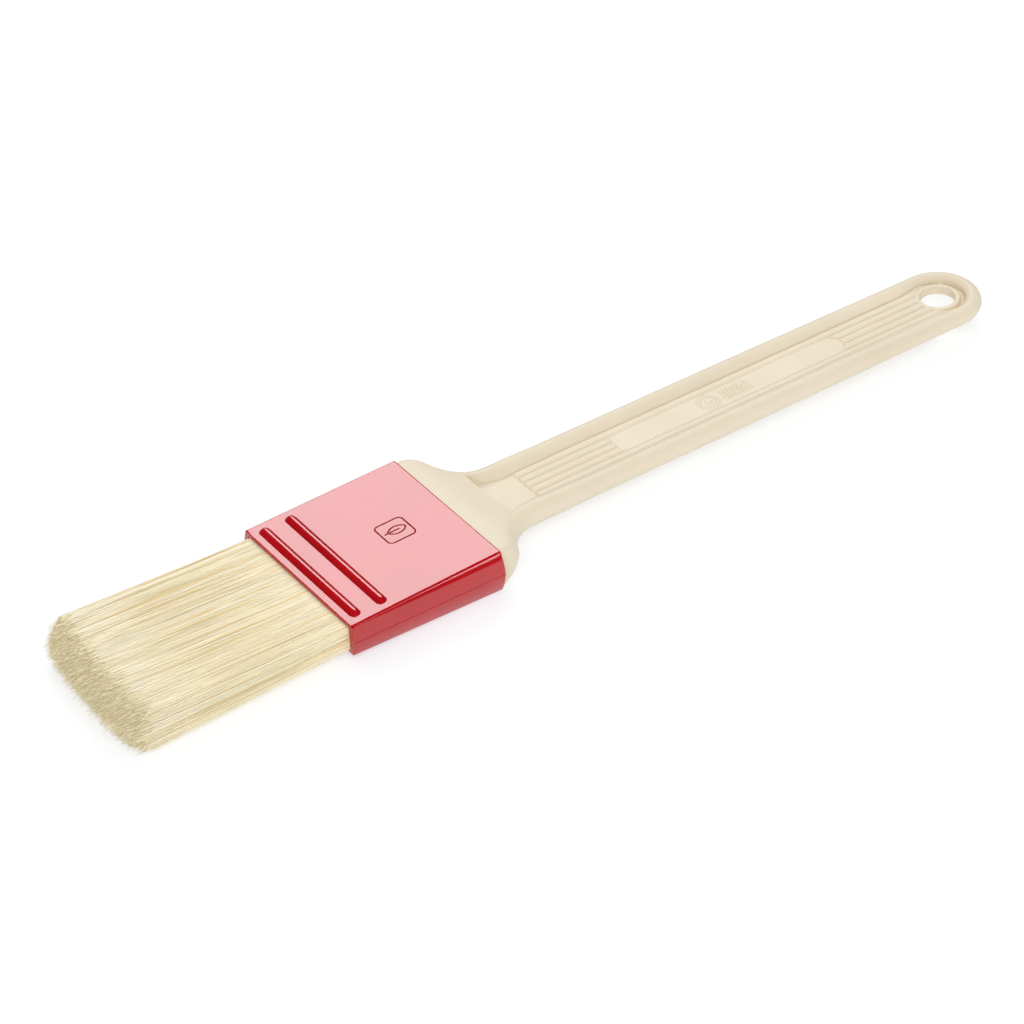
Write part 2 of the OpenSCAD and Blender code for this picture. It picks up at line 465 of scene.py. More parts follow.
def bead_distance(x, y, from_mouth):
    """Distance in plan from the middle line of a bead."""
    return np.hypot(x - MOUTH_X - from_mouth, np.maximum(np.abs(y) - BEAD_REACH, 0))


def bead_height(x, y):
    """Height of the grip beads above the ferrule's face."""
    height = np.zeros_like(x)
    for from_mouth in BEADS_FROM_MOUTH:
        off = bead_distance(x, y, from_mouth)
        dome = BEAD_H - BEAD_R + np.sqrt(np.maximum(BEAD_R ** 2 - off ** 2, 0))
        height = smooth_max(dome, height, BEAD_FILLET)
    return height


def capsule(x, reach, radius):
    """A closed ring of points round a bead's middle line, at a distance from it."""
    ends = arc((0, 0), radius, 0, 180, 0.25 + radius / 8)
    far = np.column_stack([x + ends[:, 0], reach + ends[:, 1]])
    side_y = steps(reach, -reach, BEAD_STEP)[1:-1]
    left = np.column_stack([np.full_like(side_y, x - radius), side_y])
    return np.vstack([far, left, far[::-1] * [1, -1], left[::-1] * [-1, 1] + [2 * x, 0]])


def emblem_distance(u, v):
    """Distance from the lines of the emblem: a leaf in a rounded square."""
    box_u = np.abs(u) - (EMBLEM_HALF - EMBLEM_CORNER)
    box_v = np.abs(v) - (EMBLEM_HALF - EMBLEM_CORNER)
    outer = np.hypot(np.maximum(box_u, 0), np.maximum(box_v, 0))
    square = np.abs(outer + np.minimum(np.maximum(box_u, box_v), 0) - EMBLEM_CORNER)
    vein = np.hypot(np.maximum(np.abs(u - VEIN_MIDDLE) - VEIN_HALF_L, 0), v)
    leaf_r = (LEAF_HALF_L ** 2 + LEAF_HALF_W ** 2) / (2 * LEAF_HALF_W)
    leaf = np.abs(np.hypot(u - LEAF_MIDDLE, np.abs(v) + leaf_r - LEAF_HALF_W) - leaf_r)
    return np.minimum(square, np.minimum(vein, leaf))


def emblem_height(x, y):
    """Height of the emblem's raised lines."""
    u = x - MOUTH_X - EMBLEM_FROM_MOUTH
    off = emblem_distance(u, y) / EMBLEM_LINE
    return EMBLEM_H * np.sqrt(np.clip(1 - off ** 2, 0, 1))


def emblem_points():
    """Points over the emblem, dense along its lines and sparse between them."""
    reach = EMBLEM_HALF + EMBLEM_MARGIN
    fine = steps(-reach, reach, EMBLEM_STEP)
    dense = lattice(fine, fine)
    near = emblem_distance(dense[:, 0], dense[:, 1]) < EMBLEM_BAND
    sparse = np.arange(len(fine)) % EMBLEM_SPARSE == 0
    near |= (sparse[:, None] & sparse).ravel()
    return dense[near] + [MOUTH_X + EMBLEM_FROM_MOUTH, 0]


def bead_rings():
    """Closed rings of points round each bead, closest together at its foot."""
    offsets = [share * BEAD_FOOT for share in BEAD_RING_SHARES]
    offsets += [BEAD_FOOT + gap for gap in BEAD_RING_GAPS]
    return [capsule(MOUTH_X + place, BEAD_REACH, off) for place in BEADS_FROM_MOUTH for off in offsets]


def ferrule_face_points(x_low, x_high, with_emblem):
    """Points inside one flat face of the ferrule, apart from the rings round the beads."""
    half_y = FERRULE_HALF_W - FACE_MARGIN
    grid_x = [x_low + 0.25, *steps(x_low + 1, x_high - 1, FACE_STEP), x_high - 0.25]
    grid_y = [-half_y, *steps(-half_y + 1, half_y - 1, FACE_STEP), half_y]
    grid = lattice(grid_x, grid_y)
    clear = np.ones(len(grid), bool)
    sets = []
    for from_mouth in BEADS_FROM_MOUTH:
        clear &= bead_distance(grid[:, 0], grid[:, 1], from_mouth) > BEAD_R + BEAD_CLEAR
        middle_y = steps(-BEAD_REACH, BEAD_REACH, BEAD_STEP)
        sets.append(np.column_stack([np.full_like(middle_y, MOUTH_X + from_mouth), middle_y]))
    if with_emblem:
        off = np.abs(grid - [MOUTH_X + EMBLEM_FROM_MOUTH, 0]).max(1)
        clear &= off > EMBLEM_HALF + EMBLEM_MARGIN + 0.3
        sets.append(emblem_points())
    return np.vstack([grid[clear], *sets])


def ferrule_face(shell, edges, side, with_emblem):
    """Fills one flat face of the ferrule, side 1 for the top and -1 for the bottom."""
    mouth_edge, right, heel_edge, left = edges
    loop = mouth_edge + right[1:] + heel_edge[1:] + left[1:-1]
    border = np.array([shell.points[i] for i in loop])[:, :2]
    rings = bead_rings()
    inner = ferrule_face_points(border[:, 0].min(), border[:, 0].max(), with_emblem)
    edge = np.array([shell.points[i] for i in right[1:-1]])[:, :2]
    rows = [edge - [0, gap] for gap in FACE_ROW_GAPS]
    inner = np.vstack(rings + [inner] + rows + [row * [1, -1] for row in rows])
    height = face_half_t(inner[:, 0]) + bead_height(inner[:, 0], inner[:, 1])
    if with_emblem:
        height += emblem_height(inner[:, 0], inner[:, 1])
    used = loop + shell.add(np.column_stack([inner, side * height]))
    starts = len(loop) + np.cumsum([0] + [len(ring) for ring in rings])
    creases = [[*range(start, start + len(ring)), start] for start, ring in zip(starts.tolist(), rings)]
    for triangle in triangulate(np.vstack([border, inner]), [list(range(len(loop)))], creases):
        shell.faces.append(tuple(used[k] for k in triangle))


def across_edge(shell, first, last):
    """Points in a straight row between two existing points, with their indices."""
    a, b = np.array(shell.points[first]), np.array(shell.points[last])
    share = steps(0, 1, FACE_STEP / np.linalg.norm(b - a))[1:-1, None]
    return [first] + shell.add(a + share * (b - a)) + [last]


def ferrule_sides(shell):
    """Adds the ferrule's two sides and returns their columns of points, right and left."""
    right, left = [], []
    for x in steps(MOUTH_X + RIM_R, HEEL_X - HEEL_RIM, FACE_STEP):
        half = ferrule_section(x)
        column = np.full(len(half), x)
        right.append(shell.add(np.column_stack([column, half])))
        left.append(shell.add(np.column_stack([column, half * [-1, 1]])))
    for side in (right, left):
        for a, b in zip(side[:-1], side[1:]):
            shell.strip(a, b)
    return right, left


def ferrule_faces(shell, right, left):
    """Adds the top and bottom faces, and returns each one's rows of points at the mouth and heel."""
    ends = []
    for side, k in ((1, 0), (-1, -1)):
        mouth = across_edge(shell, left[0][k], right[0][k])
        heel = across_edge(shell, right[-1][k], left[-1][k])
        edges = (mouth, [column[k] for column in right], heel, [column[k] for column in left[::-1]])
        ferrule_face(shell, edges, side, with_emblem=side == 1)
        ends.append((mouth, heel[::-1]))
    return ends


def build_ferrule(material):
    """The ferrule as one closed moulding, with its bore open at both ends."""
    shell = Shell()
    right, left = ferrule_sides(shell)
    top, bottom = ferrule_faces(shell, right, left)
    bore = bore_tube(shell, [(x, WALL) for x in steps(MOUTH_X, HEEL_X, 6)])
    for end, depth in ((0, -RIM_R), (-1, HEEL_RIM)):
        outer = top[end] + right[end][1:-1] + bottom[end][::-1] + left[end][-2:0:-1]
        outer = shell.rim(outer, depth, RIM_R)
        shell.fill([outer, bore[end]], (1, 2))
    points = np.array(shell.points)
    off = emblem_distance(points[:, 0] - MOUTH_X - EMBLEM_FROM_MOUTH, points[:, 1])
    line = (1 - ramp(off, 0.7 * EMBLEM_LINE, 1.1 * EMBLEM_LINE)) * (points[:, 2] > WALL)
    return make_piece("ferrule_moulding", points, shell.faces, material, emblem_line=line)


# -------------------------------- handle

def handle_outline():
    """The handle in plan, from one end of the heel round the hanging end to the other."""
    shoulder = np.array([SHOULDER_X, HEAD_HALF_W - SHOULDER_R])
    neck_dx, neck_dy = NECK_X - shoulder[0], shoulder[1] - NECK_HALF_W
    neck_r = (neck_dx ** 2 + neck_dy ** 2 - SHOULDER_R ** 2) / (2 * (neck_dy + SHOULDER_R))
    neck = np.array([NECK_X, NECK_HALF_W + neck_r])
    turn = math.degrees(math.atan2(*(neck - shoulder)[::-1]))
    straight = steps(HEEL_X, SHOULDER_X, 0.7)[:-1]
    grip = steps(NECK_X, 0, 1.2)[1:-1]
    half = np.vstack([
        np.column_stack([straight, np.full_like(straight, HEAD_HALF_W)]),
        arc(shoulder, SHOULDER_R, 90, turn, 0.45)[:-1],
        arc(neck, neck_r, 180 + turn, 270, 0.6),
        np.column_stack([grip, np.interp(grip, [NECK_X, 0], [NECK_HALF_W, END_R])]),
        arc((0, 0), END_R, 90, 0, 0.5),
    ])
    return np.vstack([half, half[-2::-1] * [1, -1]])


def mark_height(x, y):
    """Height of the plain moulded mark on the pad."""
    centre = np.hypot(x - MARK_X, y)
    off = np.minimum(np.abs(centre - MARK_RING_R) - MARK_RING_HALF_W, centre - MARK_DOT_R)
    from_first = x - MARK_X - TICKS_FROM
    nearest = np.clip(np.round(from_first / TICK_PITCH), 0, TICK_GAPS) * TICK_PITCH
    for row_y in (-TICK_ROW_Y, TICK_ROW_Y):
        tick = np.maximum(np.abs(from_first - nearest) - TICK_HALF_W, np.abs(y - row_y) - TICK_HALF_L)
        off = np.minimum(off, tick)
    return MARK_H * (1 - ramp(off, -0.02, 0.16))


def rib_height(x, y):
    """Height of the web with its ribs, which fade out towards the hanging hole."""
    side = np.abs(y)
    crest = np.minimum(np.round(side / RIB_PITCH), 2) * RIB_PITCH
    rib = RIB_Z - RIB_R + np.sqrt(np.maximum(RIB_R ** 2 - (side - crest) ** 2, 0))
    rib = np.maximum(rib, np.where(side > 2 * RIB_PITCH, RIB_Z - RIBS_OUTER_DROP, 0))
    share = ramp(x, RIBS_FROM - RIB_END_HALF_L, RIBS_FROM + RIB_END_HALF_L)
    share *= 1 - ramp(x, RIBS_TO - RIB_FADE_L, RIBS_TO)
    return WEB_Z + (rib - WEB_Z) * share


def pad_share(x, y):
    """1 on the pad and 0 off it. One end has rounded corners and the other is a half circle."""
    pad_end = np.hypot(np.maximum(x - (PAD_TO - PAD_HALF_W), 0), y) - PAD_HALF_W
    corner_x = np.maximum(PAD_FROM + PAD_CORNER - x, 0)
    corner_y = np.maximum(np.abs(y) - PAD_HALF_W + PAD_CORNER, 0)
    pad_start = np.hypot(corner_x, corner_y) - PAD_CORNER
    return 1 - ramp(np.maximum(pad_end, pad_start), -0.2, 0.15)


def ring_height(from_hole):
    """Height of the ring round the hanging hole, and far below the web away from it."""
    inset = np.minimum(from_hole - HOLE_R, RING_R - from_hole)
    rounding = RING_EDGE_R - np.clip(inset, 0, RING_EDGE_R)
    ring = RING_Z - RING_EDGE_R + np.sqrt(np.maximum(RING_EDGE_R ** 2 - rounding ** 2, 0))
    return np.where(inset > -1e-6, ring, -9)


def web_height(x, y):
    """Height of the flat middle of the handle, with its ribs, pad, moat and ring."""
    height = rib_height(x, y)
    in_pad = pad_share(x, y)
    height += (WEB_Z + PAD_RISE - height) * in_pad
    height += mark_height(x, y) * in_pad
    from_hole = np.hypot(x, y)
    in_moat = 1 - ramp(from_hole, MOAT_R - MOAT_EDGE, MOAT_R + MOAT_EDGE)
    in_moat *= ramp(x, RIBS_TO, RIBS_TO + MOAT_FADE_L)
    height += (MOAT_Z - height) * in_moat
    return smooth_max(ring_height(from_hole), height, CREASE_FILLET)


def handle_height(points, depth):
    """Height of the upper face at points in plan, given their depths inside the outline."""
    x, y = points.T
    crest = profile(x, *RAIL_Z)
    reach = profile(x, *EDGE_REACH)
    power = profile(x, *EDGE_POWER)
    out = np.clip(1 - depth / reach, 0, 1)
    solid = crest * (1 - out ** power) ** (1 / power)
    crease = profile(x, *CREASE_DEPTH)
    inner = np.clip((depth - reach) / (crease - reach), 0, 1)
    flank = crest - (crest - FLANK_FOOT_Z) * inner ** FLANK_POWER
    flank -= STEP_SLOPE * np.maximum(depth - crease, 0)
    hollow = np.where(depth < reach, solid, smooth_max(flank, web_height(x, y), CREASE_FILLET))
    opened = ramp(x, LEDGE_X - LEDGE_HALF_L, LEDGE_X + LEDGE_HALF_L)
    return solid + (hollow - solid) * opened


def handle_stations():
    """Places along the handle for the web's grid, closer where something starts or ends."""
    spans = [  # each from, to and step
        (HEEL_X, LEDGE_X - 0.7, 0.9), (LEDGE_X - 0.4, LEDGE_X + 0.4, 0.08),
        (LEDGE_X + 0.8, RIBS_FROM - 0.6, 0.8), (RIBS_FROM - 0.4, RIBS_FROM + 0.4, 0.12),
        (RIBS_FROM + 1, PAD_FROM - 1, 1.4), (PAD_FROM - 0.3, PAD_FROM + 1.4, 0.15),
        (PAD_FROM + 2.5, MARK_X - 4.5, 1.4), (MARK_X - 3.6, MARK_X + 14.6, 0.17),
        (MARK_X + 16, PAD_TO - 5.5, 1.4), (PAD_TO - 4.6, PAD_TO + 0.6, 0.2),
        (PAD_TO + 1.8, -11, 1.4), (-10, END_R - 1, 0.45),
    ]
    return np.concatenate([steps(*span) for span in spans])


def web_grid(outline):
    """A grid of points over the web, clear of the rails and the hanging hole."""
    lines = np.concatenate([
        steps(-HEAD_HALF_W, -WEB_HALF_W, WEB_STEP)[:-1],
        np.arange(-27, 28) * RIB_PITCH / 10,
        steps(WEB_HALF_W, HEAD_HALF_W, WEB_STEP)[1:],
    ])
    grid = lattice(handle_stations(), lines)
    x = grid[:, 0]
    end = np.where(x > LEDGE_X, profile(x, *CREASE_DEPTH), profile(x, *EDGE_REACH))
    clear = distance_to(grid, outline) > end + 0.5
    clear &= inside(grid, [outline]) & (np.hypot(*grid.T) > MOAT_R + 0.1)
    clear &= x > HEEL_X + 0.3
    return grid[clear]


def rail_lines(outline):
    """Lines of points along the rails, from their crests to just past the ends of their flanks."""
    normal = -inward(outline, closed=False)
    crest = profile(outline[:, 0], *EDGE_REACH)
    end = profile(outline[:, 0], *CREASE_DEPTH)
    lines = []
    for share, beyond in RAIL_LINES:
        reach = crest + share * (end - crest) + beyond
        line = outline + normal * reach[:, None]
        apart = np.abs(distance_to(line, outline) - reach)
        kept = (apart < 0.02) & (line[:, 0] > HEEL_X + 0.3)
        if share > 0:
            kept &= line[:, 0] > LEDGE_X - 0.4
        lines.append(line[kept])
    return lines


def moat_rings(outline):
    """Rings of points round the hanging hole, as far as the rails."""
    rings = [arc((0, 0), radius, 0, 360, 0.42)[:-1] for radius in RING_RADII]
    ends = [profile(ring[:, 0], *CREASE_DEPTH) + 0.42 for ring in rings]
    return [ring[distance_to(ring, outline) > end] for ring, end in zip(rings, ends)]


def handle_middle_points(outline):
    """Points in plan inside the rounded edges, and for each the rail line it is on, or -1."""
    lines = rail_lines(outline)
    sets = [*lines, web_grid(outline), *moat_rings(outline)]
    chain = np.repeat(np.arange(len(sets)), [len(points) for points in sets])
    return np.vstack(sets), np.where(chain < len(lines), chain, -1)


def underside(points):
    """The upper face mirrored, and drawn in towards the bottom round the head's shoulders."""
    x, y, z = points.T
    share = z / HEAD_HALF_T * ramp(x, HEEL_X, HEEL_X + 4) * (1 - ramp(x, NECK_X - 6, NECK_X + 2))
    return np.column_stack([x - UNDER_DRAW_L * share, y * (1 - UNDER_DRAW_SHARE * share), -z])


def handle_edges(shell, outline):
    """Adds the rounded edge of the upper half and returns its rows of points, from the foot up."""
    normal = -inward(outline, closed=False)
    normal[0] = (0, -1)
    normal[-1] = (0, 1)
    reach = profile(outline[:, 0], *EDGE_REACH)
    power = profile(outline[:, 0], *EDGE_POWER)
    rows = [shell.add(np.column_stack([outline, np.zeros(len(outline))]))]
    for turn in EDGE_TURNS:
        depth = reach * (1 - math.cos(math.radians(turn)) ** (2 / power))
        ring = outline + normal * depth[:, None]
        x = ring[:, 0]
        z = profile(x, *RAIL_Z) * math.sin(math.radians(turn)) ** (2 / profile(x, *EDGE_POWER))
        rows.append(shell.add(np.column_stack([ring, z])))
        shell.strip(rows[-2], rows[-1])
    return rows


def handle_heel(shell, crest):
    """Adds a row of points across the heel, between the two ends of the rounded edge's crest."""
    heel_y = steps(shell.points[crest[-1]][1], shell.points[crest[0]][1], WEB_STEP)[1:-1]
    heel = np.column_stack([np.full_like(heel_y, HEEL_X), heel_y])
    return shell.add(np.column_stack([heel, handle_height(heel, HEAD_HALF_W - abs(heel_y))]))


def handle_hole(shell):
    """Adds the upper rim of the hanging hole."""
    hole = arc((0, 0), HOLE_R, 0, 360, 0.3)[:-1]
    return shell.add(np.column_stack([hole, np.full(len(hole), RING_Z - RING_EDGE_R)]))


def handle_face(shell, outline, border, hole):
    """Fills the upper face between its border and the hanging hole, with creases along the rails."""
    border_flat = np.array([shell.points[i] for i in border])[:, :2]
    middle, chain = handle_middle_points(outline)
    kept = inside(middle, [border_flat]) & (distance_to(middle, border_flat) > 0.08)
    middle, chain = middle[kept], chain[kept]
    height = handle_height(middle, distance_to(middle, outline))
    used = border + hole + shell.add(np.column_stack([middle, height]))
    flat = np.array([shell.points[i] for i in used])[:, :2]
    first = len(border) + len(hole)
    loops = [list(range(len(border))), list(range(len(border), first))]
    gap = np.hypot(*(middle[1:] - middle[:-1]).T)
    joined = (chain[1:] == chain[:-1]) & (chain[1:] >= 0) & (gap < RAIL_LINE_GAP)
    creases = [[first + k, first + k + 1] for k in np.flatnonzero(joined).tolist()]
    for triangle in triangulate(flat, loops, creases):
        shell.faces.append(tuple(used[k] for k in triangle))


def add_underside(shell, shared):
    """Mirrors the upper half, whose first points are shared, and returns the twin of each point."""
    top = np.array(shell.points)
    twin = list(range(shared)) + shell.add(underside(top[shared:]))
    shell.faces += [tuple(twin[i] for i in reversed(face)) for face in shell.faces]
    return twin


def add_tongue(shell, heel):
    """Adds the tongue that plugs into the ferrule, inside the closed loop round the heel."""
    middle_x = (HEEL_X + TONGUE_X) / 2
    stations = [(x, WALL + TONGUE_GAP) for x in (HEEL_X, middle_x, TONGUE_X + TONGUE_CHAMFER_L)]
    tongue = bore_tube(shell, [*stations, (TONGUE_X, WALL + TONGUE_TIP_GAP)])
    shell.fill([heel, tongue[0]], (1, 2))
    shell.fill([tongue[-1]], (1, 2))


def build_handle(material):
    """The handle as one closed moulding, from its tongue in the ferrule to the hanging hole."""
    shell = Shell()
    outline = handle_outline()
    rows = handle_edges(shell, outline)
    heel = handle_heel(shell, rows[-1])
    hole = handle_hole(shell)
    handle_face(shell, outline, rows[-1] + heel, hole)
    twin = add_underside(shell, len(rows[0]))
    shell.strip(hole, [twin[i] for i in hole], closed=True)
    upper = [row[-1] for row in rows] + heel + [row[0] for row in reversed(rows)]
    add_tongue(shell, upper + [twin[i] for i in reversed(upper[1:-1])])
    return make_piece("handle_moulding", shell.points, shell.faces, material, sharp=50)


# -------------------------------- bristles

def strand_roots(rng, count):
    """Evenly scattered places in one row's slot, as shares from 0 to 1 across and up."""
    columns = round(math.sqrt(count * (ROW_HIGH[1] - ROW_LOW[1]) / (ROW_HIGH[2] - ROW_LOW[2])))
    rows = math.ceil(count / columns)
    cell = np.arange(columns * rows)
    across = (cell % columns + 0.5 + rng.uniform(-0.45, 0.45, len(cell))) / columns
    up = (cell // columns + 0.5 + rng.uniform(-0.45, 0.45, len(cell))) / rows
    picked = rng.permutation(len(cell))[:count]
    return across[picked], up[picked]


def strand_tips(rng, across, up, root_y):
    """Where the strands end across and up: scattered, and gathered into locks by a few waves."""
    tip_y = (2 * across - 1) * (TIP_HALF_W - TIP_INSET_Y) - TIP_SHIFT_Y
    tip_z = up ** 0.9 * (TIP_HALF_T - TIP_INSET_Z) * (1 - 0.1 * np.abs(2 * across - 1) ** 6)
    for _ in range(LOCK_COUNT):
        pitch = rng.uniform(0.5, 1.6)
        phase = rng.uniform(0, 7) + tip_z * rng.uniform(0.2, 0.8)
        tip_y = tip_y + LOCK_SWAY_Y * np.sin(pitch * root_y + phase)
        tip_z = tip_z + LOCK_SWAY_Z * np.sin(pitch * 1.3 * root_y + 1.7 * phase) * up
    tip_y = tip_y + rng.normal(0, TIP_SCATTER_Y, len(up))
    tip_z = tip_z + rng.normal(0, TIP_SCATTER_Z, len(up)) * (0.4 + 0.6 * (1 - up))
    return tip_y, tip_z


def strand_lengths(rng, side, tip_y, tip_z):
    """Free lengths: rounded off towards the outside and the corners, and cut slightly askew."""
    outside = OUTSIDE_CUT[side] * (np.abs(tip_z) / TIP_HALF_T) ** OUTSIDE_POWER
    corner = CORNER_CUT * np.abs(tip_y / TIP_HALF_W) ** 4
    length = FREE_L + LENGTH_EXTRA - outside - corner - SKEW * tip_y / TIP_HALF_W
    return length + rng.normal(0, LENGTH_SCATTER, len(tip_y)) - (side > 0) * UPPER_SHORTER


def strand_paths(rng, side):
    """The strands' middle lines, as X, Y and Z by strand and ring, and their tips."""
    across, up = strand_roots(rng, STRANDS_PER_PIECE)
    margin = STRAND_R + STRAND_CLEAR
    root_y = np.interp(across, [0, 1], [ROW_LOW[1] + margin, ROW_HIGH[1] - margin - 0.5])
    root_z = np.interp(up, [0, 1], [ROW_LOW[2] + margin, ROW_HIGH[2] - margin])
    mouth_z = np.interp(up, [0, 1], [0.1, ROW_HIGH[2] - margin])
    tip_y, tip_z = strand_tips(rng, across, up, root_y)
    length = strand_lengths(rng, side, tip_y, tip_z)
    bow_y = rng.normal(0, BOW_Y, len(up))
    bow_z = rng.normal(0, BOW_Z, len(up))
    shares = np.array([0] * len(ROOT_XS) + list(STRAND_SHARES))
    spread = shares ** SPREAD_POWER
    bow = np.sin(math.pi * shares)
    x = MOUTH_X - shares * length[:, None]
    y = root_y[:, None] + (tip_y - root_y)[:, None] * spread + bow_y[:, None] * bow
    z = mouth_z[:, None] + (tip_z - mouth_z)[:, None] * spread + bow_z[:, None] * bow
    x[:, :len(ROOT_XS)] = ROOT_XS
    z[:, :len(ROOT_XS)] = root_z[:, None]
    return shares, (x, y, z), (MOUTH_X - length, tip_y, tip_z)


def strand_faces(rings, count):
    """Faces of count strands, each of some three-sided rings and then a point at the tip."""
    per_strand = 3 * rings + 1
    faces = [(2, 1, 0)]
    for ring in range(rings - 1):
        for k in range(3):
            a, b = 3 * ring + k, 3 * ring + (k + 1) % 3
            faces.append((a, b, b + 3, a + 3))
    last = 3 * (rings - 1)
    faces += [(last + k, last + (k + 1) % 3, per_strand - 1) for k in range(3)]
    firsts = range(0, count * per_strand, per_strand)
    return [tuple(first + i for i in face) for first in firsts for face in faces]


def build_strands(name, side, seed, material):
    """Part of one row of bristles, side 1 for the upper row and -1 for the lower."""
    rng = np.random.default_rng(seed)
    shares, (x, y, z), tips = strand_paths(rng, side)
    count, rings = x.shape
    thickness = rng.uniform(*STRAND_THICKNESS, count)[:, None]
    radius = (STRAND_R * thickness * (1 - TAPER * shares ** 4))[:, :, None]
    turn = rng.uniform(0, 2 * math.pi, count)[:, None, None] + np.arange(3) * 2 * math.pi / 3
    around = np.stack([
        np.repeat(x[:, :, None], 3, 2),
        y[:, :, None] + radius * np.cos(turn),
        side * (z[:, :, None] + radius * np.sin(turn)),
    ], -1).reshape(count, -1, 3)
    ends = (np.stack(tips, 1) * [1, 1, side])[:, None, :]
    points = np.concatenate([around, ends], 1)
    tone = np.repeat(rng.uniform(0, 1, count), points.shape[1])
    along = np.tile(np.append(np.repeat(shares, 3), 1), count)
    faces = strand_faces(rings, count)
    return make_piece(name, points.reshape(-1, 3), faces, material, sharp=180, tone=tone, along=along)


def build_bristles(material):
    """Both rows of bristles, each as a few pieces."""
    for row, side in (("upper", 1), ("lower", -1)):
        for part in range(PIECES_PER_ROW):
            seed = 20 + 10 * side + part
            piece = build_strands(f"{row}_bristles_{part + 1}", side, seed, material)
            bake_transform(piece)
            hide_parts(f"{row}_bristle_roots", f"{row}_bristle_tips")


# -------------------------------- materials

# Display colours, 0 to 255. A pair holds the darker and the lighter patches.
CREAM = ((226, 213, 189), (230, 218, 194))
# Painted shade: the colour the handle's creases darken to
CREAM_CREASE_SHADE = (200, 178, 140)
RED = ((176, 0, 12), (184, 2, 16))
EMBLEM_RED = (122, 6, 12)
HAIR_TONES = (
    (0.0, (226, 188, 120)), (0.07, (240, 219, 166)), (0.22, (249, 239, 206)),
    (0.8, (251, 247, 228)), (1.0, (253, 251, 238)),
)
HAIR_STRIPE = (241, 220, 170)
HAIR_PALE = (255, 251, 232)
# Painted shade on the cut ends of the bristles
HAIR_END_SHADE = (246, 229, 166)
# Painted light: a faint warm glow on every strand, standing in for light scattered through the hair
HAIR_SCATTER_GLOW = (255, 219, 155)
HAIR_SCATTER_GLOW_STRENGTH = 0.062
WOOD = ((188, 150, 104), (222, 192, 150))
RESIN = ((176, 128, 44), (214, 176, 92))


def linear(colour):
    """A display colour, 0 to 255, as Blender's linear colour."""
    parts = np.array(colour) / 255
    dark = parts / 12.92
    light = ((parts + 0.055) / 1.055) ** 2.4
    return (*np.where(parts <= 0.04045, dark, light).tolist(), 1.0)


def grey(level):
    """A grey from 0, black, to 1, white."""
    return (level, level, level, 1)


class Nodes:
    """Builds a material's node tree round its Principled shader."""

    def __init__(self, name, roughness=0.5, ior=1.5):
        self.material = bpy.data.materials.new(name)
        self.material.use_nodes = True
        self.tree = self.material.node_tree
        self.shader = self.tree.nodes["Principled BSDF"]
        self.set(Roughness=roughness, IOR=ior)
        self.place = self.node("ShaderNodeTexCoord").outputs["Object"]

    def node(self, kind, **settings):
        """A new node with some of its properties set."""
        made = self.tree.nodes.new(kind)
        for key, value in settings.items():
            setattr(made, key, value)
        return made

    def feed(self, socket, value):
        """Gives an input what comes from another node's output, or a fixed value."""
        if isinstance(value, bpy.types.NodeSocket):
            self.tree.links.new(value, socket)
        else:
            socket.default_value = value

    def set(self, **inputs):
        """Feeds the shader's inputs, named with _ for each space."""
        for name, value in inputs.items():
            self.feed(self.shader.inputs[name.replace("_", " ")], value)

    def made(self, kind, output, **inputs):
        """The output of a new node whose inputs, named with _ for each space, are fed."""
        node = self.node(kind)
        for name, value in inputs.items():
            self.feed(node.inputs[name.replace("_", " ")], value)
        return node.outputs[output]

    def stretched(self, scale):
        """Object coordinates multiplied by a scale along each axis."""
        return self.made("ShaderNodeMapping", "Vector", Vector=self.place, Scale=scale)

    def noise(self, scale=1, detail=3, place=None):
        """Soft noise with some features a metre, from 0 to 1."""
        place = place or self.place
        return self.made("ShaderNodeTexNoise", "Fac", Vector=place, Scale=scale, Detail=detail)

    def number(self, factor, low, high):
        """A number between low and high as factor goes from 0 to 1."""
        return self.made("ShaderNodeMapRange", "Result", Value=factor, To_Min=low, To_Max=high)

    def attribute(self, name):
        """A float attribute of the mesh."""
        return self.node("ShaderNodeAttribute", attribute_name=name).outputs["Fac"]

    def ramp(self, factor, *stops):
        """A colour ramp from (place, colour) stops."""
        made = self.node("ShaderNodeValToRGB")
        points = made.color_ramp.elements
        while len(points) < len(stops):
            points.new(0.5)
        for point, (where, colour) in zip(points, stops):
            point.position = where
            point.color = colour
        self.feed(made.inputs["Fac"], factor)
        return made.outputs["Color"]

    def mix(self, factor, first, second):
        """A mix of two colours."""
        made = self.node("ShaderNodeMix", data_type="RGBA")
        for index, value in ((0, factor), (6, first), (7, second)):
            self.feed(made.inputs[index], value)
        return made.outputs[2]

    def bump(self, height, distance, strength):
        """Raises and lowers the shading by a height."""
        normal = self.made("ShaderNodeBump", "Normal", Height=height, Distance=distance, Strength=strength)
        self.set(Normal=normal)


def handle_plastic():
    """Satin cream plastic with a fine moulded grain, and painted shade darkening its creases."""
    n = Nodes("handle_plastic")
    base = n.ramp(n.noise(scale=45), (0.3, linear(CREAM[0])), (0.7, linear(CREAM[1])))
    # Painted shade: the cream darkens where the surface folds inward, standing in for shade in the
    # creases.
    hollow = n.node("ShaderNodeNewGeometry").outputs["Pointiness"]
    crease = n.ramp(hollow, (0.43, grey(1)), (0.5, grey(0)))
    colour = n.mix(crease, base, linear(CREAM_CREASE_SHADE))
    n.bump(n.noise(scale=2600, detail=4), distance=0.03 * MM, strength=0.35)
    n.set(Base_Color=colour, Roughness=n.number(n.noise(scale=300), 0.42, 0.56))
    n.set(Subsurface_Weight=0.15, Subsurface_Scale=1 * MM, Subsurface_Radius=(1, 0.7, 0.4))
    return n.material


